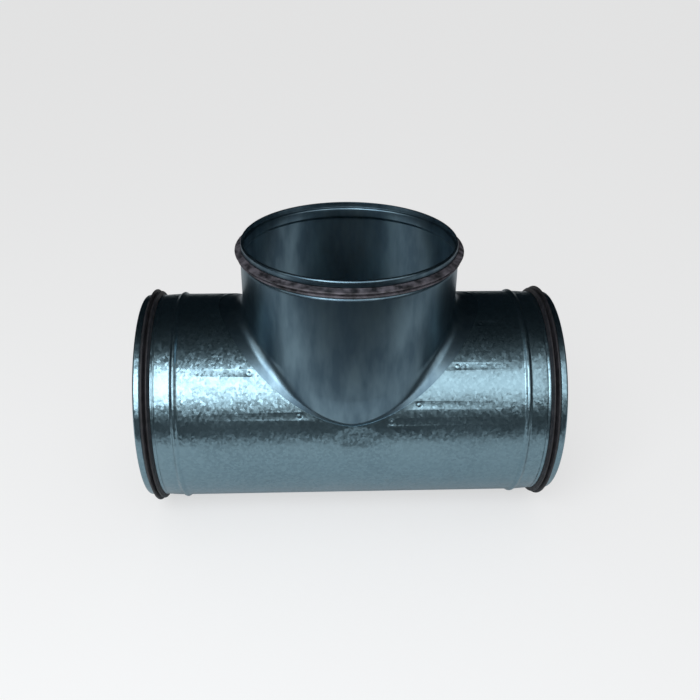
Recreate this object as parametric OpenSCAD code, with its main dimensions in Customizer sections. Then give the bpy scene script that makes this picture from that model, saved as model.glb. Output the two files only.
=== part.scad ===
// Equal T-piece for round ventilation duct, in galvanised sheet steel.
// The run tube lies along X and the branch points up along Z.
// A pressed saddle, one piece with the branch collar, sits inside the opening of the run tube.
// The origin is under the crossing of the two axes, at the height of the lowest points of the seals.

/* [Sheet] */
// Outside diameter of the run tube and of the branch collar
tube_d = 199; // [188:1:215]
// Thickness of the run tube's sheet
run_sheet = 0.6; // [0.5:0.1:0.9]
// Thickness of the pressed saddle's sheet
saddle_sheet = 0.8; // [0.6:0.1:1.1]
// Clearance between the run tube's sheet and the saddle's flange under it
sheet_gap = 0.1; // [0.05:0.05:0.3]

/* [Run tube] */
// Length of the run tube from end to end
run_length = 390; // [376:2:460]
// Distance from an end of the run to the crest of its stop bead
stop_inset = 36; // [32:1:42]
// Height of a stop bead above the sheet
bead_h = 1.8; // [1:0.1:2.4]
// Width of a stop bead
bead_w = 7.6; // [6:0.2:9]
// Depth of the crease behind the run's seal groove
crease_depth = 0.5; // [0.2:0.1:0.8]
// Width of the crease behind the run's seal groove
crease_w = 2.4; // [1.6:0.2:3.2]
// Width of the lapped weld seam along the underside of the run
seam_w = 5; // [3:0.5:8]
// Height of the lapped weld seam above the sheet
seam_h = 0.25; // [0.15:0.05:0.4]

/* [Branch] */
// Height of the branch's end above the axis of the run
branch_h = 164; // [158:1:190]
// How much the collar narrows in radius at its shoulder
shoulder_depth = 1.8; // [1.2:0.1:2.2]
// Length of the shoulder along the branch
shoulder_w = 3.4; // [2.6:0.2:5]
// Radius of the fillet where the collar leaves the flange, at the sides
fillet_r = 12; // [8:0.5:15]
// Width of flange that shows between the fillet and the edge of the opening, at the sides
flange_show = 11; // [7:0.5:13]
// Height above the run's axis of the lowest point of the opening, at the front and back
tip_h = 22; // [19:0.5:27]
// Height above the run's axis where the front of the collar starts to taper inwards
taper_top = 52; // [46:1:62]
// How far the flange reaches under the run tube's sheet past the edge of the opening
flange_lap = 14; // [12:0.5:16]

/* [Spot welds] */
// Distance from the edge of the opening to the middle of a spot weld
weld_inset = 6.5; // [5:0.5:7.5]
// Diameter of the dent that a spot weld leaves
weld_d = 8; // [5:0.5:9]
// Depth of that dent
weld_depth = 0.3; // [0.15:0.05:0.4]
// Distance along the run between the two welds at each tip
tip_weld_pitch = 10.5; // [9.5:0.5:14]

/* [Spigot ends] */
// How much narrower in radius the end lip is than the tube
lip_step = 0.8; // [0.4:0.1:1.2]
// Radius of the lip's rounded end
lip_round = 2; // [1.4:0.1:2.4]
// Distance from the end of a spigot to the seal groove
groove_inset = 6; // [4.5:0.25:6.5]
// Width of the seal groove at its floor
groove_w = 7.4; // [6.6:0.2:8.4]
// Depth of the seal groove below the lip
groove_depth = 1.8; // [1.4:0.1:2.4]
// Length along the axis of each side of the groove
groove_side = 1; // [0.6:0.1:1.3]
// Width of the ring behind the groove
ring_w = 1.2; // [0.8:0.1:1.6]

/* [Seals] */
// How far a seal's taller lip stands out past the tube
seal_proud = 4.7; // [3.8:0.1:5.5]
// How much lower the seal's second lip is
second_lip_drop = 1.7; // [1:0.1:2.2]
// Radius of the rounded tips of both lips
lip_tip_r = 0.85; // [0.6:0.05:0.9]
// Clearance between a seal and its groove
seal_gap = 0.15; // [0.1:0.05:0.25]

/* [Hidden] */
zinc = "#7d929c";
zinc_pressed = "#5f7884";
rubber = "#1c1b20";

$fn = 96;
// Columns of facets round the pressed skirt, and steps up its fillet and across its flange
skirt_columns = 120;
fillet_steps = 9;
flange_steps = 3;
// Steps in which a bead, the shoulder and a rounded lip are drawn
bead_steps = 12;
shoulder_steps = 6;
lip_steps = 5;
tip_steps = 6;

tube_r = tube_d / 2;
run_end = run_length / 2;
lip_r = tube_r - lip_step;
floor_r = lip_r - groove_depth;
groove_end = groove_inset + 2 * groove_side + groove_w;
ring_end = groove_end + ring_w;
seal_r = tube_r + seal_proud;
axis_h = seal_r;
// Places of a seal's two lips behind the start of the groove, and height of the valley between them
tall_lip_inset = 2.9;
low_lip_inset = 6.9;
valley_h = 1;
flange_r = tube_r - run_sheet - sheet_gap;

// Laid out flat, the opening is a rounded diamond: at this power it is between a diamond and an oval.
// The foot of the fillet, the line of welds and the edge of the flange repeat it at other sizes.
outline_power = 1.65;
foot_margin = 2;
opening_x = tube_r + fillet_r + flange_show;
opening_angle = acos(tip_h / tube_r);
foot_x = tube_r + fillet_r;
foot_angle = opening_angle - arc_angle(foot_margin);
flange_x = opening_x + flange_lap;
flange_angle = opening_angle + arc_angle(flange_lap);
weld_x = opening_x + weld_inset;
weld_angle = opening_angle + arc_angle(weld_inset);
opening_cut = 2;

// Places of the spot welds round that outline, and of the pair at each tip along the run
weld_turns = [19, 39, 58, 70, 116, 139, 167, 196, 221, 244, 296, 319, 344];
tip_weld_shift = 4.5;
dent_sphere_r = (weld_d * weld_d / 4 + weld_depth * weld_depth) / (2 * weld_depth);

// The collar is a plain tube from a little above its fillet.
// The skirt narrows over the neck and enters the collar's wall as a tongue.
plain_above_fillet = 3;
collar_foot = flange_r + fillet_r + plain_above_fillet;
neck_h = 1;
tongue_h = 2;
tongue_inset = 0.15;
// Share of a fillet's radius at which a curve's handles make it round
round_share = 0.5523;
// Length of the handle that bends the front of the skirt into the flange
front_handle = 1.6;
// How sharply the taper is kept to the front and back
taper_power = 6;

// Angle round the run that a length along its surface takes
function arc_angle(length) = length / tube_r * 180 / PI;

// A power that keeps the sign of its base
function signed_power(value, power) = sign(value) * pow(abs(value), power);

// A point of the rounded diamond: its place along the run and its angle round it from the top
function outline(half_x, half_angle, turn) = [
    half_x * signed_power(cos(turn), 2 / outline_power),
    half_angle * signed_power(sin(turn), 2 / outline_power)
];

// That point on a cylinder round the run
function on_run(place, radius) = [place[0], -radius * sin(place[1]), radius * cos(place[1])];

// A line that swells by height between two places, over a base that goes from one radius to another
function bead_line(middle, width, base_from, base_to, height) = [
    for (i = [0:bead_steps])
        let (share = i / bead_steps, base = base_from + (base_to - base_from) * share)
            [middle + width * (share - 0.5), base + height * (1 - cos(360 * share)) / 2]
];

// Outer line of every spigot's end, as distance from the end and radius: rounded lip and seal groove
end_line = concat(
    [for (i = [0:lip_steps])
        let (turn = 90 * i / lip_steps)
            [lip_round * (1 - cos(turn)), lip_r - lip_round * (1 - sin(turn))]],
    [[groove_inset, lip_r], [groove_inset + groove_side, floor_r],
     [groove_end - groove_side, floor_r]]
);

// Outer line of half the run tube: spigot end, ring, crease, slight taper and stop bead
run_line = concat(
    end_line,
    [[groove_end, lip_r], [ring_end, lip_r],
     [ring_end + crease_w / 2, lip_r - crease_depth], [ring_end + crease_w, lip_r]],
    bead_line(stop_inset, bead_w, tube_r, tube_r, bead_h)
);

// Outer line of the collar: spigot end and the shoulder up to the full diameter
collar_line = concat(
    end_line,
    [for (i = [0:shoulder_steps])
        let (turn = 90 * i / shoulder_steps)
            [groove_end + shoulder_w * (1 - cos(turn)), tube_r - shoulder_depth * (1 - sin(turn))]],
    [[branch_h - collar_foot, tube_r]]
);

// Direction from one point to the next, and the side of a line that faces out
function unit(vector) = vector / norm(vector);
function out_side(a, b) = let (along = unit(b - a)) [-along[1], along[0]];

// The inner face of a sheet whose outer face is a line: each corner is mitred
function inner_line(line, sheet) = [
    for (i = [0:len(line) - 1])
        let (before = i == 0 ? out_side(line[0], line[1]) : out_side(line[i - 1], line[i]),
             after = i == len(line) - 1 ? before : out_side(line[i], line[i + 1]),
             mitre = unit(before + after))
            line[i] - mitre * sheet / (mitre * before)
];

function reversed(list) = [for (i = [len(list) - 1:-1:0]) list[i]];

// Section of a tube's wall, as radius and place, from lines measured from its lower end
function half_wall(line, end) = [for (point = line) [point[1], end - point[0]]];

// Section of the run tube's wall, both halves
module run_wall() {
    outer = half_wall(run_line, run_end);
    inner = half_wall(inner_line(run_line, run_sheet), run_end);
    polygon(concat(
        outer,
        reversed([for (point = outer) [point[0], -point[1]]]),
        [for (point = inner) [point[0], -point[1]]],
        reversed(inner)
    ));
}

// Height on the collar where the fillet ends, at an azimuth round the branch
function fillet_top(azimuth) = sqrt(
    pow(flange_r + fillet_r, 2) - pow((tube_r + fillet_r) * sin(azimuth), 2)
    + pow(taper_top, 2) * pow(abs(sin(azimuth)), taper_power)
);

// A point of a curve with two handles
function curve_point(a, b, c, d, share) =
    pow(1 - share, 3) * a + 3 * share * pow(1 - share, 2) * b
    + 3 * share * share * (1 - share) * c + pow(share, 3) * d;

// One face of the skirt at one place round the outline, from the flange's edge up to the collar.
// The fillet is drawn in the upright plane through the branch's axis.
function skirt_face(turn, depth) =
    let (radius = flange_r - depth, collar = tube_r - depth,
         edge = outline(flange_x, flange_angle, turn),
         foot = outline(foot_x, foot_angle, turn),
         start = on_run(foot, radius),
         azimuth = atan2(start[1], start[0]),
         reach = norm([start[0], start[1]]),
         across = pow(cos(azimuth), 2),
         rise = unit([-1, reach * (1 - across) / start[2]]),
         a = [reach, start[2]],
         b = a + rise * (round_share * (fillet_r + depth) * across + front_handle * (1 - across)),
         top = fillet_top(azimuth),
         c = [collar, top - round_share * (top - b[1])],
         d = [collar, top])
    concat(
        [for (i = [0:flange_steps - 1]) on_run(edge + (foot - edge) * i / flange_steps, radius)],
        [for (i = [0:fillet_steps])
            let (point = curve_point(a, b, c, d, i / fillet_steps))
                [point[0] * cos(azimuth), point[0] * sin(azimuth), point[1]]],
        [upright(collar, azimuth, collar_foot - neck_h)]
    );

function upright(radius, azimuth, height) = [radius * cos(azimuth), radius * sin(azimuth), height];

// The tongue that enters the collar's wall above the skirt
function tongue(turn) =
    let (start = on_run(outline(foot_x, foot_angle, turn), flange_r),
         azimuth = atan2(start[1], start[0]),
         outer = tube_r - tongue_inset,
         inner = tube_r - saddle_sheet + tongue_inset)
    [upright(outer, azimuth, collar_foot), upright(outer, azimuth, collar_foot + tongue_h),
     upright(inner, azimuth, collar_foot + tongue_h), upright(inner, azimuth, collar_foot)];

// Closed section of the skirt at one place round the outline
function skirt_section(turn) = concat(
    skirt_face(turn, 0), tongue(turn), reversed(skirt_face(turn, saddle_sheet))
);

// Flange, fillet and the foot of the collar, as one shell
module skirt() {
    sections = [for (i = [0:skirt_columns - 1]) skirt_section(360 * i / skirt_columns)];
    count = len(sections[0]);
    faces = [
        for (i = [0:skirt_columns - 1], j = [0:count - 1])
            let (next_i = (i + 1) % skirt_columns, next_j = (j + 1) % count,
                 p = i * count + j, q = i * count + next_j,
                 r = next_i * count + next_j, s = next_i * count + j)
            each [[p, r, q], [p, s, r]]
    ];
    polyhedron([for (section = sections) each section], faces, convexity = 8);
}

// The body that cuts the opening square through the run tube's sheet
module opening_cutter() {
    count = skirt_columns;
    ring = [for (i = [0:count - 1]) outline(opening_x, opening_angle, 360 * i / count)];
    low = [for (place = ring) on_run(place, tube_r - run_sheet - opening_cut)];
    high = [for (place = ring) on_run(place, tube_r + bead_h + opening_cut)];
    right = [for (k = [0:count / 2]) (k + count * 3 / 4) % count];
    left = [for (k = [0:count / 2]) (count * 3 / 4 - k) % count];
    cap = [
        for (k = [0:count / 2 - 1])
            each [
                if (k + 1 < count / 2) [right[k], left[k + 1], right[k + 1]],
                if (k > 0) [right[k], left[k], left[k + 1]]
            ]
    ];
    sides = [
        for (i = [0:count - 1])
            let (next = (i + 1) % count)
            each [[i, next, next + count], [i, next + count, i + count]]
    ];
    polyhedron(
        concat(low, high),
        concat(cap, sides, [for (face = cap) [for (i = reversed(face)) i + count]]),
        convexity = 4
    );
}

// The dent of a spot weld, at a place along the run and an angle round it
module weld_dent(place) {
    translate([place[0], 0, 0]) rotate([place[1], 0, 0])
        translate([0, 0, tube_r + dent_sphere_r - weld_depth]) sphere(r = dent_sphere_r);
}

module weld_dents() {
    for (turn = weld_turns) weld_dent(outline(weld_x, weld_angle, turn));
    for (side = [-1, 1], half = [-0.5, 0.5])
        weld_dent([side * tip_weld_shift + half * tip_weld_pitch, side * weld_angle]);
}

// Lapped and welded seam along the underside, between the stop beads
module lap_seam() {
    length = run_length - 2 * (stop_inset + bead_w);
    rotate([0, 90, 0]) rotate([0, 0, -arc_angle(seam_w) / 2])
        rotate_extrude(angle = arc_angle(seam_w))
            translate([tube_r - run_sheet / 2, -length / 2])
                square([run_sheet / 2 + seam_h, length]);
}

module run_tube() {
    color(zinc) translate([0, 0, axis_h]) {
        difference() {
            rotate([0, 90, 0]) rotate_extrude() run_wall();
            opening_cutter();
            weld_dents();
        }
        lap_seam();
    }
}

module branch_saddle() {
    color(zinc_pressed) translate([0, 0, axis_h]) {
        rotate_extrude() polygon(concat(
            half_wall(collar_line, branch_h),
            reversed(half_wall(inner_line(collar_line, saddle_sheet), branch_h))
        ));
        skirt();
    }
}

// Rounded tip of a seal's lip, as radius and place from the end of the spigot
function lip_tip(tip_r, place) = [
    for (i = [0:tip_steps])
        let (turn = 180 * i / tip_steps)
            [tip_r + lip_tip_r * (sin(turn) - 1), lip_tip_r * cos(turn) - place]
];

// A seal ring about Z, with its taller lip towards the spigot's end, which is at z = 0
module gasket() {
    seat_r = lip_r + 2 * seal_gap;
    tall_place = groove_inset + tall_lip_inset;
    low_place = groove_inset + low_lip_inset;
    base_start = groove_inset + groove_side + seal_gap;
    base_end = groove_end - groove_side - seal_gap;
    rotate_extrude() polygon(concat(
        [[floor_r + seal_gap, -base_end], [floor_r + seal_gap, -base_start],
         [seat_r, -base_start], [seat_r, -groove_inset - seal_gap]],
        lip_tip(seal_r, tall_place),
        [[seat_r + valley_h, -(tall_place + low_place) / 2]],
        lip_tip(seal_r - second_lip_drop, low_place),
        [[seat_r, -groove_end], [seat_r, -base_end]]
    ));
}

module gasket_left() {
    color(rubber) translate([-run_end, 0, axis_h]) rotate([0, -90, 0]) gasket();
}

module gasket_right() {
    color(rubber) translate([run_end, 0, axis_h]) rotate([0, 90, 0]) gasket();
}

module gasket_branch() {
    color(rubber) translate([0, 0, axis_h + branch_h]) gasket();
}

run_tube();
branch_saddle();
gasket_left();
gasket_right();
gasket_branch();
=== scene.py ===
"""Equal T-piece for round ventilation duct, dressed over its solid model.

The run tube lies along X and the branch points up along Z, in metres.
Each operator makes one piece: the run tube, the pressed saddle, the seals and the stage.
"""
import math

import bmesh
import bpy
from mathutils import Matrix, Vector


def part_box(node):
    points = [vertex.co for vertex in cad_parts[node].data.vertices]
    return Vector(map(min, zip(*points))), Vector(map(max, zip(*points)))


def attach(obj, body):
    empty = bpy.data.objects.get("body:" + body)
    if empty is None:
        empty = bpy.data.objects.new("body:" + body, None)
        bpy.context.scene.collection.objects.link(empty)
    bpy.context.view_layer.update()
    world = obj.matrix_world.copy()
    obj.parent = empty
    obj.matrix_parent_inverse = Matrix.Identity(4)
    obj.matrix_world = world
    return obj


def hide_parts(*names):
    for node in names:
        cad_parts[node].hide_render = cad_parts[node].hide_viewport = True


bl_info = {
    "name": "Duct tee",
    "version": (1, 0, 0),
    "blender": (4, 5, 0),
    "location": "3D View > Sidebar > Duct tee",
    "description": "Makes a round duct tee with a pressed saddle branch and rubber seals",
    "category": "Mesh",
}

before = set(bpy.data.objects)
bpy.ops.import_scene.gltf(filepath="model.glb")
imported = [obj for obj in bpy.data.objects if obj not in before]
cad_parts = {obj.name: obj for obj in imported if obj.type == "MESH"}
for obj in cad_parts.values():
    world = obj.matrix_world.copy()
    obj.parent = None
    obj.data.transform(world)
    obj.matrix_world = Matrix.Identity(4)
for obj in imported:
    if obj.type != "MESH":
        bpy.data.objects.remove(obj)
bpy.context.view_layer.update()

MM = 0.001

# Places that the solid model gives
RUN_LOW, RUN_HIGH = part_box("run_tube")
SADDLE_LOW, SADDLE_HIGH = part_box("branch_saddle")
SEAL_LOW, SEAL_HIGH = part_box("gasket_left")
AXIS_H = (SEAL_LOW.z + SEAL_HIGH.z) / 2
BEAD_H = 1.8 * MM
TUBE_R = RUN_HIGH.y - BEAD_H

# Steps round every turned piece, and columns round the saddle
ROUND_STEPS = 360
SADDLE_COLUMNS = 360


def linear(hex_colour):
    """The linear colour of an sRGB hex value such as #7C97A0."""
    channels = [int(hex_colour[i:i + 2], 16) / 255 for i in (1, 3, 5)]
    return [c / 12.92 if c <= 0.04045 else ((c + 0.055) / 1.055) ** 2.4 for c in channels]


def length_prop(name, description, default):
    return bpy.props.FloatProperty(
        name=name, description=description, default=default, min=0, unit="LENGTH", precision=5
    )


def colour_prop(name, description, hex_colour):
    return bpy.props.FloatVectorProperty(
        name=name, description=description, default=linear(hex_colour), size=3,
        subtype="COLOR", min=0, max=1
    )


class TeeSizes(bpy.types.PropertyGroup):
    """Sizes of the tee's pieces"""
    tube_r: length_prop("Tube radius", "Outside radius of the run tube and collar", TUBE_R)
    run_end: length_prop("Half run", "From the middle of the run to its end", RUN_HIGH.x)
    branch_h: length_prop("Branch height", "Height of the branch's end above the run's axis",
                          SADDLE_HIGH.z - AXIS_H)
    run_sheet: length_prop("Run sheet", "Thickness of the run tube's sheet", 0.6 * MM)
    saddle_sheet: length_prop("Saddle sheet", "Thickness of the saddle's sheet", 0.8 * MM)
    stop_inset: length_prop("Stop inset", "From a run end to its stop bead's crest", 36 * MM)
    bead_h: length_prop("Bead height", "Height of a stop bead", BEAD_H)
    bead_w: length_prop("Bead width", "Width of a stop bead", 7.6 * MM)
    crease_depth: length_prop("Crease depth", "Depth of the crease behind the groove", 0.5 * MM)
    crease_w: length_prop("Crease width", "Width of the crease behind the groove", 2.4 * MM)
    shoulder_depth: length_prop("Shoulder depth", "How much the collar narrows at its shoulder",
                                1.8 * MM)
    shoulder_w: length_prop("Shoulder length", "Length of the shoulder", 3.4 * MM)
    fillet_r: length_prop("Fillet radius", "Radius of the saddle's fillet at the crown", 12 * MM)
    flange_show: length_prop("Flange", "Flange that shows inside the opening", 11 * MM)
    tip_h: length_prop("Tip height", "Lowest point of the opening above the run's axis", 22 * MM)
    taper_top: length_prop("Taper top", "Height where the collar's front starts to taper",
                           52 * MM)
    seal_proud: length_prop("Seal", "How far a seal's taller lip stands out", 4.7 * MM)


class TeeFinish(bpy.types.PropertyGroup):
    """Colours of the tee's finishes"""
    zinc: colour_prop("Zinc", "Zinc coat of the run tube", "#829DA8")
    zinc_dark: colour_prop("Dark zinc", "Darker crystals of the zinc coat", "#6C8590")
    pressed: colour_prop("Pressed zinc", "Zinc coat of the pressed saddle", "#748C98")
    pressed_dark: colour_prop("Dark pressed zinc", "Upright blotches on the saddle", "#566C7A")
    rubber: colour_prop("Rubber", "EPDM of the seals", "#141418")
    dust: colour_prop("Dust", "Grey dust on the branch's seal", "#6A666E")


def sizes():
    return bpy.context.scene.tee_sizes


def finish():
    return bpy.context.scene.tee_finish


# Lines of sheet metal, as place along an axis and radius

LIP_STEP = 0.8 * MM
LIP_ROUND = 2 * MM
LIP_STEPS = 8
GROOVE_INSET = 6 * MM
GROOVE_SIDE = 1 * MM
GROOVE_W = 7.4 * MM
GROOVE_DEPTH = 1.8 * MM
GROOVE_END = GROOVE_INSET + 2 * GROOVE_SIDE + GROOVE_W
RING_W = 1.2 * MM
BEAD_STEPS = 16
SHOULDER_STEPS = 10
BEND_SETBACK = 0.7 * MM
BEND_STEPS = 4


def lip_r():
    return sizes().tube_r - LIP_STEP


def softened(line, setback):
    """The line with each corner replaced by a small curve."""
    soft = [line[0]]
    for before, corner, after in zip(line, line[1:], line[2:]):
        start = before - corner
        end = after - corner
        reach = min(setback, 0.45 * start.length, 0.45 * end.length)
        a = corner + start.normalized() * reach
        b = corner + end.normalized() * reach
        for i in range(BEND_STEPS + 1):
            t = i / BEND_STEPS
            soft.append(a * (1 - t) ** 2 + corner * 2 * t * (1 - t) + b * t * t)
    soft.append(line[-1])
    return soft


def groove_line():
    """Seal groove and the flat beyond it, from a little inside the lip."""
    high = lip_r()
    low = high - GROOVE_DEPTH
    corners = [(LIP_ROUND + 0.4 * MM, high), (GROOVE_INSET, high),
               (GROOVE_INSET + GROOVE_SIDE, low), (GROOVE_END - GROOVE_SIDE, low)]
    return [Vector(corner) for corner in corners]


def lip_line():
    """Rounded lip, rolled inwards."""
    points = []
    for i in range(LIP_STEPS + 1):
        turn = math.radians(90 * i / LIP_STEPS)
        points.append(Vector((LIP_ROUND * (1 - math.cos(turn)),
                              lip_r() - LIP_ROUND * (1 - math.sin(turn)))))
    return points


def bead_line(middle, width, base, height):
    """A bead: it swells and falls like a wave."""
    points = []
    for i in range(BEAD_STEPS + 1):
        share = i / BEAD_STEPS
        swell = height * (1 - math.cos(math.tau * share)) / 2
        points.append(Vector((middle + width * (share - 0.5), base + swell)))
    return points


def run_line():
    """Outer line of half the run tube, from its end to its middle."""
    s = sizes()
    ring_end = GROOVE_END + RING_W
    high = lip_r()
    corners = groove_line() + [
        Vector((GROOVE_END, high)), Vector((ring_end, high)),
        Vector((ring_end + s.crease_w / 2, high - s.crease_depth)),
        Vector((ring_end + s.crease_w, high)),
        Vector((s.stop_inset - s.bead_w / 2 - MM, s.tube_r)),
    ]
    return (lip_line() + softened(corners, BEND_SETBACK)
            + bead_line(s.stop_inset, s.bead_w, s.tube_r, s.bead_h))


def collar_line():
    """Outer line of the branch, from its end down to the plain collar."""
    s = sizes()
    corners = groove_line() + [Vector((GROOVE_END, s.tube_r - s.shoulder_depth))]
    shoulder = []
    for i in range(1, SHOULDER_STEPS + 1):
        turn = math.radians(90 * i / SHOULDER_STEPS)
        shoulder.append(Vector((GROOVE_END + s.shoulder_w * (1 - math.cos(turn)),
                                s.tube_r - s.shoulder_depth * (1 - math.sin(turn)))))
    return lip_line() + softened(corners, BEND_SETBACK) + shoulder


# Tools for modelling as by hand

def deselect():
    bpy.ops.object.select_all(action="DESELECT")


def activate(piece):
    deselect()
    piece.select_set(True)
    bpy.context.view_layer.objects.active = piece


def start_piece(name):
    """Names the primitive that was just added, and moves its place into its mesh."""
    piece = bpy.context.object
    piece.name = name
    piece.data.name = name
    bpy.ops.object.transform_apply(location=True, rotation=True, scale=True)
    return piece


def edit():
    bpy.ops.object.mode_set(mode="EDIT")


def leave_edit():
    bpy.ops.object.mode_set(mode="OBJECT")


def apply_modifier(piece, kind, **settings):
    activate(piece)
    bpy.ops.object.modifier_add(type=kind)
    modifier = piece.modifiers[-1]
    for key, value in settings.items():
        setattr(modifier, key, value)
    bpy.ops.object.modifier_apply(modifier=modifier.name)


def spin_line(name, points, centre, axis, closed):
    """Draws a line by extruding one vertex along it, and spins it round an axis."""
    deselect()
    bpy.ops.mesh.primitive_plane_add(size=MM, location=points[0])
    piece = start_piece(name)
    edit()
    bpy.ops.mesh.select_all(action="SELECT")
    bpy.ops.mesh.merge(type="CENTER")
    route = points + points[:1] if closed else points
    for here, there in zip(route, route[1:]):
        bpy.ops.mesh.extrude_region_move(TRANSFORM_OT_translate={"value": there - here})
    bpy.ops.mesh.select_all(action="SELECT")
    bpy.ops.mesh.remove_doubles(threshold=0.001 * MM)
    bpy.ops.mesh.select_all(action="SELECT")
    bpy.ops.mesh.spin(steps=ROUND_STEPS, angle=math.tau, center=centre, axis=axis)
    bpy.ops.mesh.select_all(action="SELECT")
    bpy.ops.mesh.remove_doubles(threshold=0.001 * MM)
    bpy.ops.mesh.normals_make_consistent(inside=False)
    leave_edit()
    return piece


def about_run(line, end):
    """Places a line of the run's section, measured from the end at +X or -X."""
    side = math.copysign(1, end)
    return [Vector((end - side * point.x, 0, AXIS_H + point.y)) for point in line]


def face_outwards(piece, towards):
    """Flips the faces if those that should face outwards don't. towards gives the way out."""
    facing = sum(face.normal.dot(towards(face.center)) * face.area
                 for face in piece.data.polygons)
    if facing < 0:
        activate(piece)
        edit()
        bpy.ops.mesh.select_all(action="SELECT")
        bpy.ops.mesh.flip_normals()
        leave_edit()


def from_run_axis(place):
    return Vector((0, place.y, place.z - AXIS_H)).normalized()


def smooth(piece, angle):
    activate(piece)
    bpy.ops.object.shade_smooth_by_angle(angle=math.radians(angle))


def cut(piece, tool):
    """Cuts a tool out of a piece and removes the tool."""
    apply_modifier(piece, "BOOLEAN", operation="DIFFERENCE", solver="EXACT", object=tool)
    bpy.data.objects.remove(tool)


def settle(piece, node, material):
    """The piece stands for a solid, rides with it and takes its finish."""
    piece.data.materials.clear()
    piece.data.materials.append(material)
    for polygon in piece.data.polygons:
        polygon.material_index = 0
    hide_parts(node)
    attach(piece, "root")


# The rounded diamond of the opening, laid round the run

OUTLINE_POWER = 1.65
FOOT_MARGIN = 2 * MM
FLANGE_LAP = 14 * MM
WELD_INSET = 6.5 * MM
SHEET_GAP = 0.1 * MM
WELD_TURNS = (19, 39, 58, 70, 116, 139, 167, 196, 221, 244, 296, 319, 344)
TIP_WELD_SHIFT = 4.5 * MM
TIP_WELD_PITCH = 10.5 * MM


def arc_angle(length):
    """Angle in degrees round the run that a length along its surface takes."""
    return math.degrees(length / sizes().tube_r)


def opening_size():
    """Half length of the opening along the run, and its half angle round it."""
    s = sizes()
    return (s.tube_r + s.fillet_r + s.flange_show,
            math.degrees(math.acos(s.tip_h / s.tube_r)))


def signed_power(value, power):
    return math.copysign(abs(value) ** power, value)


def outline(half_x, half_angle, turn):
    """A point of the rounded diamond: place along the run, and angle round it from the top."""
    turn = math.radians(turn)
    return Vector((half_x * signed_power(math.cos(turn), 2 / OUTLINE_POWER),
                   half_angle * signed_power(math.sin(turn), 2 / OUTLINE_POWER)))


def on_run(place, radius):
    """That point on a cylinder round the run's axis."""
    angle = math.radians(place.y)
    return Vector((place.x, -radius * math.sin(angle), AXIS_H + radius * math.cos(angle)))


# Materials

def add_node(tree, kind, settings=None, links=None):
    """Adds a node, sets its sockets or properties, and links sockets to other nodes' outputs."""
    node = tree.nodes.new(kind)
    for key, value in (settings or {}).items():
        if isinstance(key, str) and hasattr(node, key):
            setattr(node, key, value)
        else:
            node.inputs[key].default_value = value
    for key, source in (links or {}).items():
        tree.links.new(source, node.inputs[key])
    return node


def new_material(name):
    """An empty material with its output, its shader and its object coordinates."""
    material = bpy.data.materials.new(name)
    material.use_nodes = True
    tree = material.node_tree
    tree.nodes.clear()
    output = add_node(tree, "ShaderNodeOutputMaterial")
    shader = add_node(tree, "ShaderNodeBsdfPrincipled")
    tree.links.new(shader.outputs["BSDF"], output.inputs["Surface"])
    place = add_node(tree, "ShaderNodeTexCoord").outputs["Object"]
    return material, tree, shader, place


def per_metre(size_in_mm):
    """Texture scale at which a pattern has one feature in that many millimetres."""
    return 1 / (size_in_mm * MM)


def mix_colour(tree, share, a, b):
    """A mix of two colours by a share."""
    node = add_node(tree, "ShaderNodeMix", {"data_type": "RGBA"})
    node.inputs["A"].default_value = (*a, 1)
    node.inputs["B"].default_value = (*b, 1)
    tree.links.new(share, node.inputs["Factor"])
    return node.outputs[2]


def tilted(tree, base_normal, cell_colour, amount):
    """Normal tilted by each crystal's own random vector, so that every crystal glints alone."""
    centred = add_node(tree, "ShaderNodeVectorMath", {"operation": "SUBTRACT"},
                       {0: cell_colour})
    centred.inputs[1].default_value = (0.5, 0.5, 0.5)
    scaled = add_node(tree, "ShaderNodeVectorMath", {"operation": "SCALE"},
                      {0: centred.outputs[0]})
    scaled.inputs["Scale"].default_value = amount
    added = add_node(tree, "ShaderNodeVectorMath", {"operation": "ADD"},
                     {0: base_normal, 1: scaled.outputs[0]})
    unit = add_node(tree, "ShaderNodeVectorMath", {"operation": "NORMALIZE"},
                    {0: added.outputs[0]})
    return unit.outputs[0]


def spangled_zinc():
    """Hot-dip galvanised steel sheet: small zinc crystals, each tilted a little its own way."""
    material, tree, shader, place = new_material("galvanised_spangle")
    cells = add_node(tree, "ShaderNodeTexVoronoi", {"Scale": per_metre(2.2)},
                     {"Vector": place})
    fine = add_node(tree, "ShaderNodeTexNoise",
                    {"Scale": per_metre(1.6), "Detail": 2.0}, {"Vector": place})
    clouds = add_node(tree, "ShaderNodeTexNoise",
                      {"Scale": per_metre(60), "Detail": 3.0}, {"Vector": place})
    tone = add_node(tree, "ShaderNodeSeparateColor", links={"Color": cells.outputs["Color"]})
    blend = add_node(tree, "ShaderNodeMath", {"operation": "MULTIPLY"},
                     {0: tone.outputs["Red"], 1: clouds.outputs["Fac"]})
    colour = mix_colour(tree, blend.outputs[0], finish().zinc, finish().zinc_dark)
    tree.links.new(colour, shader.inputs["Base Color"])
    bump = add_node(tree, "ShaderNodeBump", {"Strength": 0.35, "Distance": 0.12 * MM},
                    {"Height": fine.outputs["Fac"]})
    normal = tilted(tree, bump.outputs["Normal"], cells.outputs["Color"], 0.10)
    tree.links.new(normal, shader.inputs["Normal"])
    rough = add_node(tree, "ShaderNodeMapRange", {"To Min": 0.24, "To Max": 0.36},
                     {"Value": clouds.outputs["Fac"]})
    tree.links.new(rough.outputs["Result"], shader.inputs["Roughness"])
    shader.inputs["Metallic"].default_value = 1.0
    return material


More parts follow.
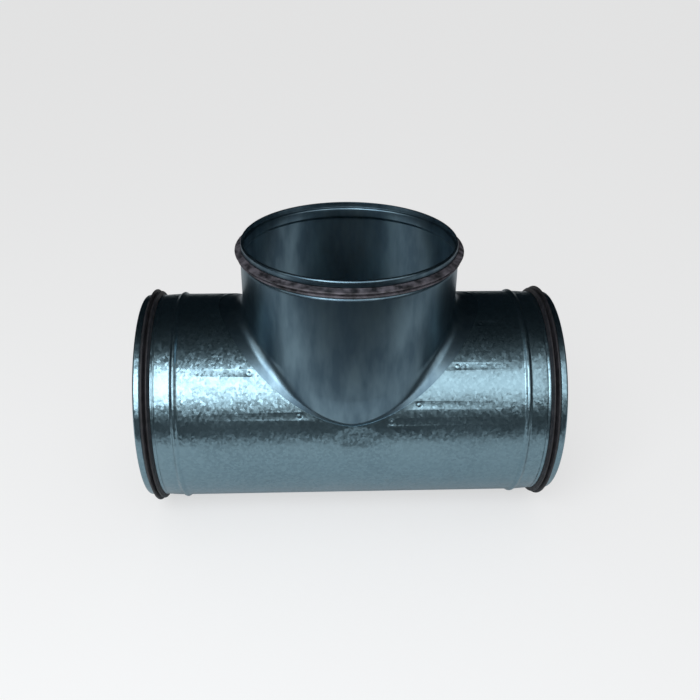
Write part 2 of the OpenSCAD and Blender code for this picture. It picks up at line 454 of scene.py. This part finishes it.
def pressed_zinc():
    """Galvanised sheet that a press has drawn: smoother, darker, with upright blotches."""
    material, tree, shader, place = new_material("galvanised_pressed")
    drawn = add_node(tree, "ShaderNodeMapping", {"Scale": (1, 1, 0.3)}, {"Vector": place})
    blotches = add_node(tree, "ShaderNodeTexNoise",
                        {"Scale": per_metre(16), "Detail": 3.0}, {"Vector": drawn.outputs[0]})
    share = add_node(tree, "ShaderNodeMapRange",
                     {"From Min": 0.35, "From Max": 0.65, "To Min": 0.0, "To Max": 1.0},
                     {"Value": blotches.outputs["Fac"]})
    colour = mix_colour(tree, share.outputs["Result"], finish().pressed,
                        finish().pressed_dark)
    tree.links.new(colour, shader.inputs["Base Color"])
    grain = add_node(tree, "ShaderNodeTexNoise",
                     {"Scale": per_metre(2.5), "Detail": 2.0}, {"Vector": place})
    bump = add_node(tree, "ShaderNodeBump", {"Strength": 0.2, "Distance": 0.08 * MM},
                    {"Height": grain.outputs["Fac"]})
    tree.links.new(bump.outputs["Normal"], shader.inputs["Normal"])
    rough = add_node(tree, "ShaderNodeMapRange", {"To Min": 0.26, "To Max": 0.42},
                     {"Value": blotches.outputs["Fac"]})
    tree.links.new(rough.outputs["Result"], shader.inputs["Roughness"])
    shader.inputs["Metallic"].default_value = 1.0
    return material


def epdm(name, dust_share):
    """Black EPDM rubber, extruded, with grey dust that gathers in streaks."""
    material, tree, shader, place = new_material(name)
    dust = add_node(tree, "ShaderNodeTexNoise",
                    {"Scale": per_metre(7), "Detail": 5.0}, {"Vector": place})
    share = add_node(tree, "ShaderNodeMapRange",
                     {"From Min": 0.35, "From Max": 0.7, "To Min": 0.0, "To Max": dust_share},
                     {"Value": dust.outputs["Fac"]})
    colour = mix_colour(tree, share.outputs["Result"], finish().rubber, finish().dust)
    tree.links.new(colour, shader.inputs["Base Color"])
    shader.inputs["Roughness"].default_value = 0.55
    shader.inputs["IOR"].default_value = 1.52
    bump = add_node(tree, "ShaderNodeBump", {"Strength": 0.25, "Distance": 0.1 * MM},
                    {"Height": dust.outputs["Fac"]})
    tree.links.new(bump.outputs["Normal"], shader.inputs["Normal"])
    return material


# The run tube

CUT_MARGIN = 3 * MM
OPENING_ROWS = 180
PATCH_X = 4.5 * MM
PATCH_HALF_X = 20 * MM
PATCH_TOP = 77.0
PATCH_LOW = 90.5
PATCH_LOOP = 2 * MM
DENT_STEPS = 28


def opening_tool():
    """Block with the opening's outline, whose walls stand square to the tube."""
    half_x, half_angle = opening_size()
    low = sizes().tube_r - CUT_MARGIN
    high = sizes().tube_r + CUT_MARGIN
    deselect()
    bpy.ops.mesh.primitive_grid_add(x_subdivisions=1, y_subdivisions=OPENING_ROWS, size=1)
    tool = start_piece("opening_tool")
    for vertex in tool.data.vertices:
        side = math.copysign(1, vertex.co.x)
        place = outline(half_x, half_angle, 180 * vertex.co.y)
        vertex.co = on_run(Vector((side * abs(place.x), place.y)), low)
    edit()
    bpy.ops.mesh.select_all(action="SELECT")
    bpy.ops.mesh.extrude_region_move()
    bpy.ops.transform.resize(value=(1, high / low, high / low),
                             center_override=(0, 0, AXIS_H))
    bpy.ops.mesh.select_all(action="SELECT")
    bpy.ops.mesh.remove_doubles(threshold=0.01 * MM)
    bpy.ops.mesh.normals_make_consistent(inside=False)
    leave_edit()
    return tool


def dent_tool(place, radius, depth, name="dent_tool"):
    """Spot-weld tip: a round ring that presses a groove and leaves a pip in its middle."""
    s = sizes()
    section = [(0, depth * 0.1), (0.22, depth * 0.15), (0.4, depth), (0.62, depth),
               (0.85, depth * 0.45), (1.0, 0), (1.15, -0.3 * MM), (1.15, -2 * MM), (0, -2 * MM)]
    points = [Vector((radius * share, 0, s.tube_r - below)) for share, below in section]
    deselect()
    bpy.ops.mesh.primitive_plane_add(size=MM, location=points[0])
    tool = start_piece(name)
    edit()
    bpy.ops.mesh.select_all(action="SELECT")
    bpy.ops.mesh.merge(type="CENTER")
    for here, there in zip(points, points[1:]):
        bpy.ops.mesh.extrude_region_move(TRANSFORM_OT_translate={"value": there - here})
    bpy.ops.mesh.select_all(action="SELECT")
    bpy.ops.mesh.spin(steps=DENT_STEPS, angle=math.tau, center=(0, 0, 0), axis=(0, 0, 1))
    bpy.ops.mesh.select_all(action="SELECT")
    bpy.ops.mesh.remove_doubles(threshold=0.001 * MM)
    bpy.ops.mesh.normals_make_consistent(inside=False)
    leave_edit()
    turn = Matrix.Rotation(math.radians(place.y), 4, "X")
    tool.data.transform(Matrix.Translation((place.x, 0, AXIS_H)) @ turn)
    return tool


def press_tip_patches(piece):
    """Flattens the sheet under the front and back tips of the opening into a shallow oval."""
    s = sizes()
    middle = (PATCH_TOP + PATCH_LOW) / 2
    half = (PATCH_LOW - PATCH_TOP) / 2
    depth = s.tube_r * (1 - math.cos(math.radians(half)))
    for vertex in piece.data.vertices:
        out = Vector((0, vertex.co.y, vertex.co.z - AXIS_H))
        side = -math.copysign(1, out.y)
        angle = math.degrees(math.atan2(abs(out.y), out.z))
        along = (vertex.co.x - side * PATCH_X) / PATCH_HALF_X
        around = (angle - middle) / half
        press = depth * max(0, 1 - along ** 2 - around ** 2)
        vertex.co -= out.normalized() * press


class TEE_OT_run_tube(bpy.types.Operator):
    """Roll the run tube, cut its opening and press its weld dents"""
    bl_idname = "tee.run_tube"
    bl_label = "Run tube"

    def execute(self, context):
        s = sizes()
        half = run_line()
        line = about_run(half, s.run_end) + about_run(half[::-1], -s.run_end)
        piece = spin_line("run_tube_sheet", line, (0, 0, AXIS_H), (1, 0, 0), closed=False)
        face_outwards(piece, from_run_axis)
        activate(piece)
        edit()
        loops = round(2 * PATCH_HALF_X / PATCH_LOOP) + 8
        for i in range(loops + 1):
            x = (i - loops / 2) * PATCH_LOOP
            bpy.ops.mesh.select_all(action="SELECT")
            bpy.ops.mesh.bisect(plane_co=(x, 0, 0), plane_no=(1, 0, 0))
        leave_edit()
        press_tip_patches(piece)
        apply_modifier(piece, "SOLIDIFY", thickness=s.run_sheet, offset=-1,
                       use_even_offset=True)
        cut(piece, opening_tool())
        half_x, half_angle = opening_size()
        for turn in WELD_TURNS:
            place = outline(half_x + WELD_INSET, half_angle + arc_angle(WELD_INSET), turn)
            cut(piece, dent_tool(place, 3.8 * MM, 0.32 * MM))
        smooth(piece, 32)
        settle(piece, "run_tube", spangled_zinc())
        return {"FINISHED"}


# The pressed saddle

FLANGE_STEPS = 6
FILLET_STEPS = 18
COLLAR_STEPS = 6
ROUND_SHARE = 0.5523
FRONT_HANDLE = 1.6 * MM
TAPER_POWER = 6


def fillet_top(azimuth, flange_r):
    """Height above the run's axis at which the fillet meets the collar."""
    s = sizes()
    across = math.sin(azimuth)
    return math.sqrt(
        (flange_r + s.fillet_r) ** 2 - ((s.tube_r + s.fillet_r) * across) ** 2
        + s.taper_top ** 2 * abs(across) ** TAPER_POWER
    )


def saddle_column(turn):
    """Points of the saddle's outer face at one place round the outline, edge to rim."""
    s = sizes()
    flange_r = s.tube_r - s.run_sheet - SHEET_GAP
    half_x, half_angle = opening_size()
    edge = outline(half_x + FLANGE_LAP, half_angle + arc_angle(FLANGE_LAP), turn)
    foot = outline(s.tube_r + s.fillet_r, half_angle - arc_angle(FOOT_MARGIN), turn)
    column = [on_run(edge.lerp(foot, i / FLANGE_STEPS), flange_r) for i in range(FLANGE_STEPS)]
    start = on_run(foot, flange_r) - Vector((0, 0, AXIS_H))
    azimuth = math.atan2(start.y, start.x)
    reach = math.hypot(start.x, start.y)
    across = math.cos(azimuth) ** 2
    rise = Vector((-1, reach * (1 - across) / start.z)).normalized()
    a = Vector((reach, start.z))
    b = a + rise * (ROUND_SHARE * s.fillet_r * across + FRONT_HANDLE * (1 - across))
    top = fillet_top(azimuth, flange_r)
    c = Vector((s.tube_r, top - ROUND_SHARE * (top - b.y)))
    d = Vector((s.tube_r, top))
    upright = []
    for i in range(FILLET_STEPS + 1):
        t = i / FILLET_STEPS
        upright.append(a * (1 - t) ** 3 + b * 3 * t * (1 - t) ** 2
                       + c * 3 * t * t * (1 - t) + d * t ** 3)
    rim = [Vector((point.y, s.branch_h - point.x)) for point in reversed(collar_line())]
    for i in range(1, COLLAR_STEPS):
        upright.append(d.lerp(rim[0], i / COLLAR_STEPS))
    upright += rim
    column += [Vector((point.x * math.cos(azimuth), point.x * math.sin(azimuth),
                       AXIS_H + point.y)) for point in upright]
    return column


class TEE_OT_saddle(bpy.types.Operator):
    """Press the saddle: flange, fillet, collar and spigot in one sheet"""
    bl_idname = "tee.saddle"
    bl_label = "Pressed saddle"

    def execute(self, context):
        s = sizes()
        columns = [saddle_column(360 * i / SADDLE_COLUMNS) for i in range(SADDLE_COLUMNS)]
        rings = len(columns[0])
        deselect()
        bpy.ops.mesh.primitive_grid_add(x_subdivisions=SADDLE_COLUMNS,
                                        y_subdivisions=rings - 1, size=1)
        piece = start_piece("branch_saddle_sheet")
        across = SADDLE_COLUMNS + 1
        for index, vertex in enumerate(piece.data.vertices):
            vertex.co = columns[index % across % SADDLE_COLUMNS][index // across]
        edit()
        bpy.ops.mesh.select_all(action="SELECT")
        bpy.ops.mesh.remove_doubles(threshold=0.001 * MM)
        leave_edit()
        face_outwards(piece, lambda place: Vector((place.x, place.y, 0)))
        apply_modifier(piece, "SOLIDIFY", thickness=s.saddle_sheet, offset=-1,
                       use_even_offset=True)
        smooth(piece, 32)
        settle(piece, "branch_saddle", pressed_zinc())
        return {"FINISHED"}


# The seals

SEAL_GAP = 0.15 * MM
TALL_LIP_INSET = 2.9 * MM
LOW_LIP_INSET = 6.9 * MM
LOW_LIP_DROP = 1.7 * MM
VALLEY_H = 1 * MM
LIP_TIP_R = 0.85 * MM
TIP_STEPS = 10


def lip_tip(tip_r, place):
    """Rounded tip of a seal's lip."""
    points = []
    for i in range(TIP_STEPS + 1):
        turn = math.pi * i / TIP_STEPS
        points.append(Vector((place - LIP_TIP_R * math.cos(turn),
                              tip_r + LIP_TIP_R * (math.sin(turn) - 1))))
    return points


def seal_line():
    """Closed section of a seal: its base in the groove and two lips."""
    s = sizes()
    floor_r = lip_r() - GROOVE_DEPTH + SEAL_GAP
    seat_r = lip_r() + 2 * SEAL_GAP
    base_start = GROOVE_INSET + GROOVE_SIDE + SEAL_GAP
    base_end = GROOVE_END - GROOVE_SIDE - SEAL_GAP
    tall = GROOVE_INSET + TALL_LIP_INSET
    low = GROOVE_INSET + LOW_LIP_INSET
    seal_r = s.tube_r + s.seal_proud
    start = [Vector((base_end, floor_r)), Vector((base_start, floor_r)),
             Vector((base_start, seat_r)), Vector((GROOVE_INSET + SEAL_GAP, seat_r))]
    valley = [Vector(((tall + low) / 2, seat_r + VALLEY_H))]
    end = [Vector((GROOVE_END, seat_r)), Vector((base_end, seat_r))]
    return start + lip_tip(seal_r, tall) + valley + lip_tip(seal_r - LOW_LIP_DROP, low) + end


class TEE_OT_seals(bpy.types.Operator):
    """Fit a rubber seal in the groove of each spigot"""
    bl_idname = "tee.seals"
    bl_label = "Seals"

    def execute(self, context):
        s = sizes()
        line = seal_line()
        black = epdm("epdm_black", 0.12)
        dusty = epdm("epdm_dusty", 0.9)
        for name, end in (("gasket_left", -s.run_end), ("gasket_right", s.run_end)):
            seal = spin_line(name + "_ring", about_run(line, end), (0, 0, AXIS_H), (1, 0, 0),
                             closed=True)
            smooth(seal, 40)
            settle(seal, name, black)
        top = AXIS_H + s.branch_h
        upright = [Vector((point.y, 0, top - point.x)) for point in line]
        seal = spin_line("gasket_branch_ring", upright, (0, 0, 0), (0, 0, 1), closed=True)
        smooth(seal, 40)
        settle(seal, "gasket_branch", dusty)
        return {"FINISHED"}


# The stage

CAMERA_DISTANCE = 0.8692
CAMERA_ELEVATION = 31.12
CAMERA_AZIMUTH = -2.50
CAMERA_ROLL = 0.509
CAMERA_LENS = 44.46
CAMERA_SHIFT = (0.0028, 0.0596)
TENT_R = 1.7
PALE_FLOOR_DEPTH = 0.375


def direction(azimuth, elevation):
    """Unit vector to a place round the tee: azimuth 0 is towards the camera's side, -Y."""
    a = math.radians(azimuth)
    e = math.radians(elevation)
    return Vector((math.sin(a) * math.cos(e), -math.cos(a) * math.cos(e), math.sin(e)))


def add_camera():
    centre = Vector((0, 0, AXIS_H))
    back = direction(CAMERA_AZIMUTH, CAMERA_ELEVATION)
    right = Vector((0, 0, 1)).cross(back).normalized()
    up = back.cross(right)
    roll = math.radians(CAMERA_ROLL)
    rolled_right = right * math.cos(roll) + up * math.sin(roll)
    rolled_up = up * math.cos(roll) - right * math.sin(roll)
    data = bpy.data.cameras.new("camera")
    data.lens = CAMERA_LENS
    data.shift_x, data.shift_y = CAMERA_SHIFT
    camera = bpy.data.objects.new("camera", data)
    bpy.context.scene.collection.objects.link(camera)
    turn = Matrix((rolled_right, rolled_up, back)).transposed().to_4x4()
    camera.matrix_world = Matrix.Translation(centre + back * CAMERA_DISTANCE) @ turn
    bpy.context.scene.camera = camera


def add_softbox(name, azimuth, elevation, distance, width, height, radiance, colour):
    """A soft light that faces the tee and shines as bright as that radiance."""
    data = bpy.data.lights.new(name, "AREA")
    data.shape = "RECTANGLE"
    data.size = width
    data.size_y = height
    data.energy = radiance * math.pi * width * height
    data.color = colour
    lamp = bpy.data.objects.new(name, data)
    bpy.context.scene.collection.objects.link(lamp)
    back = direction(azimuth, elevation)
    lamp.location = Vector((0, 0, AXIS_H)) + back * distance
    lamp.rotation_euler = (-back).to_track_quat("-Z", "Y").to_euler()
    return lamp


def plain_material(name, hex_colour):
    material, tree, shader, place = new_material(name)
    shader.inputs["Base Color"].default_value = (*linear(hex_colour), 1)
    shader.inputs["Roughness"].default_value = 1.0
    shader.inputs["Specular IOR Level"].default_value = 0.0
    return material


def only_in_reflections(card):
    """A dark card that metal reflects. The camera and the light don't see it."""
    card.visible_camera = False
    card.visible_diffuse = False
    card.visible_shadow = False
    card.visible_transmission = False


def pale_world():
    """White where it is seen or reflected, and a soft even light."""
    world = bpy.data.worlds.new("pale_room")
    bpy.context.scene.world = world
    world.use_nodes = True
    tree = world.node_tree
    tree.nodes.clear()
    output = add_node(tree, "ShaderNodeOutputWorld")
    path = add_node(tree, "ShaderNodeLightPath")
    seen = add_node(tree, "ShaderNodeMath", {"operation": "ADD", "use_clamp": True},
                    {0: path.outputs["Is Camera Ray"], 1: path.outputs["Is Glossy Ray"]})
    seen = add_node(tree, "ShaderNodeMath", {"operation": "ADD", "use_clamp": True},
                    {0: seen.outputs[0], 1: path.outputs["Is Transmission Ray"]})
    strength = add_node(tree, "ShaderNodeMapRange", {"To Min": 0.45, "To Max": 1.0},
                        {"Value": seen.outputs[0]})
    background = add_node(tree, "ShaderNodeBackground", {"Color": (1, 1, 1, 1)},
                          {"Strength": strength.outputs["Result"]})
    tree.links.new(background.outputs[0], output.inputs["Surface"])


class TEE_OT_stage(bpy.types.Operator):
    """Set the pale floor, the soft lights, the dark cards and the camera"""
    bl_idname = "tee.stage"
    bl_label = "Stage"

    def execute(self, context):
        context.scene.view_settings.view_transform = "Standard"
        pale_world()
        deselect()
        bpy.ops.mesh.primitive_plane_add(size=12, location=(0, 0, 0))
        floor = start_piece("floor")
        material, tree, shader, place = new_material("pale_floor")
        shader.inputs["Base Color"].default_value = (*linear("#F2F3F4"), 1)
        shader.inputs["Roughness"].default_value = 1.0
        shader.inputs["Specular IOR Level"].default_value = 0.0
        path = add_node(tree, "ShaderNodeLightPath")
        glow = add_node(tree, "ShaderNodeEmission", {"Color": (1, 1, 1, 1), "Strength": 1.0})
        share = add_node(tree, "ShaderNodeMath", {"operation": "MULTIPLY", 1: 0.6},
                         {0: path.outputs["Is Camera Ray"]})
        both = add_node(tree, "ShaderNodeMixShader", links={
            0: share.outputs[0], 1: shader.outputs["BSDF"], 2: glow.outputs[0]})
        output = next(n for n in tree.nodes if n.type == "OUTPUT_MATERIAL")
        tree.links.new(both.outputs[0], output.inputs["Surface"])
        floor.data.materials.append(material)

        dark = plain_material("dark_cloth", "#1B2228")
        deselect()
        bpy.ops.mesh.primitive_uv_sphere_add(segments=72, ring_count=36, radius=TENT_R,
                                             location=(0, 0, AXIS_H))
        tent = start_piece("dark_tent")
        edit()
        bpy.ops.mesh.select_all(action="DESELECT")
        leave_edit()
        for face in tent.data.polygons:
            out = (face.center - Vector((0, 0, AXIS_H))).normalized()
            elevation = math.degrees(math.asin(out.z))
            azimuth = math.degrees(math.atan2(out.x, -out.y))
            face.select = 15 < elevation < 57 and -75 < azimuth < 65
        edit()
        bpy.ops.mesh.delete(type="FACE")
        leave_edit()
        tent.data.materials.append(dark)
        only_in_reflections(tent)

        deselect()
        bpy.ops.mesh.primitive_plane_add(
            size=3, location=(0, -PALE_FLOOR_DEPTH - 1.5, 0.5 * MM))
        card = start_piece("dark_floor_card")
        card.data.materials.append(dark)
        only_in_reflections(card)

        add_softbox("key_left", -24, 37, 1.2, 0.62, 0.72, 5.0, (0.93, 0.97, 1.0))
        add_softbox("key_right", 18, 37, 1.2, 0.6, 0.6, 1.2, (0.93, 0.97, 1.0))
        add_camera()
        return {"FINISHED"}


class TEE_PT_panel(bpy.types.Panel):
    """The tee's sizes, finishes and pieces"""
    bl_idname = "TEE_PT_panel"
    bl_label = "Duct tee"
    bl_space_type = "VIEW_3D"
    bl_region_type = "UI"
    bl_category = "Duct tee"

    def draw(self, context):
        for group in (context.scene.tee_sizes, context.scene.tee_finish):
            box = self.layout.box()
            for name in group.__annotations__:
                box.prop(group, name)
        for operator in OPERATORS:
            self.layout.operator(operator.bl_idname)


OPERATORS = (TEE_OT_run_tube, TEE_OT_saddle, TEE_OT_seals, TEE_OT_stage)
CLASSES = (TeeSizes, TeeFinish, *OPERATORS, TEE_PT_panel)


def register():
    for cls in CLASSES:
        bpy.utils.register_class(cls)
    bpy.types.Scene.tee_sizes = bpy.props.PointerProperty(type=TeeSizes)
    bpy.types.Scene.tee_finish = bpy.props.PointerProperty(type=TeeFinish)


def unregister():
    del bpy.types.Scene.tee_finish
    del bpy.types.Scene.tee_sizes
    for cls in reversed(CLASSES):
        bpy.utils.unregister_class(cls)


def main():
    register()
    bpy.ops.tee.run_tube()
    bpy.ops.tee.saddle()
    bpy.ops.tee.seals()
    bpy.ops.tee.stage()


if __name__ == "__main__":
    main()
